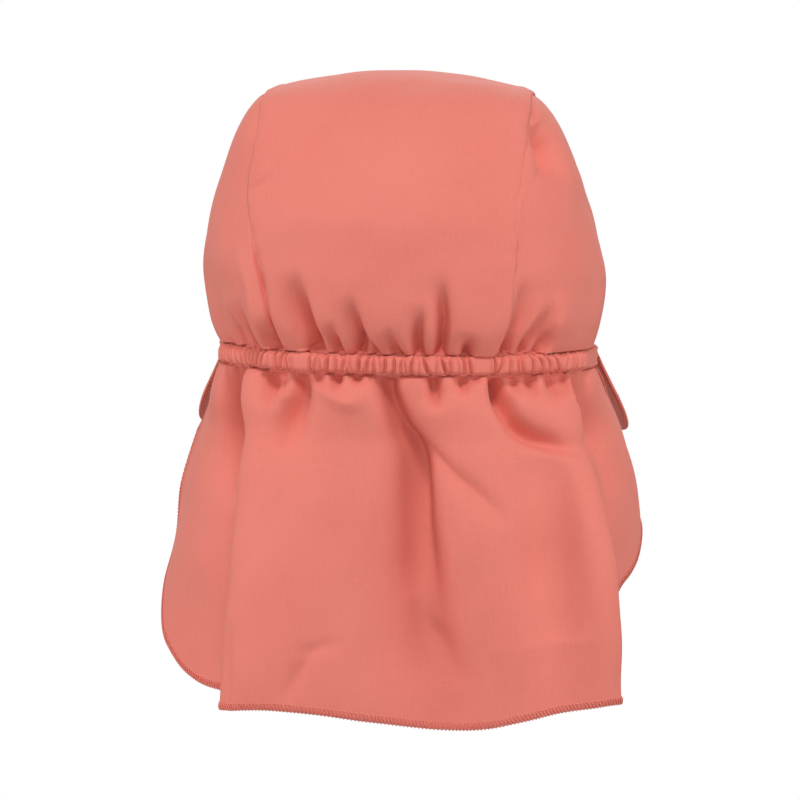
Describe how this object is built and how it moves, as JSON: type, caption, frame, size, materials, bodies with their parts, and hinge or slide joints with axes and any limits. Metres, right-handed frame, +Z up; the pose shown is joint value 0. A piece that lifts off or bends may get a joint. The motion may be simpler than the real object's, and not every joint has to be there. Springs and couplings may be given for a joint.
{
  "type": "sun cap with neck flap",
  "caption": "Small child's soft sun cap with a panelled crown, an elastic casing gathered at the nape, a soft peak and a long gathered neck flap.",
  "frame": {"origin": "centre of the head opening, half way up the band, where a head carries the cap", "axes": "+Z up through the crown, -Y out over the peak, +Y out at the nape, +X to the wearer's left"},
  "size_m": [0.1926, 0.2437, 0.2494],
  "materials": {
    "crown_cloth": "fine plain weave with a soft sheen",
    "band_cloth": "fine plain weave, ruched over elastic",
    "flap_cloth": "fine plain weave with a soft sheen",
    "peak_cloth": "fine plain weave over a thin soft core",
    "thread": "matt sewing thread"
  },
  "bodies": {
    "root": {"crown_centre_panel": "crown_cloth", "crown_side_panel_left": "crown_cloth", "crown_side_panel_right": "crown_cloth", "nape_casing": "band_cloth", "brow_band": "band_cloth", "neck_flap": "flap_cloth", "peak": "peak_cloth"}
  },
  "joints": []
}
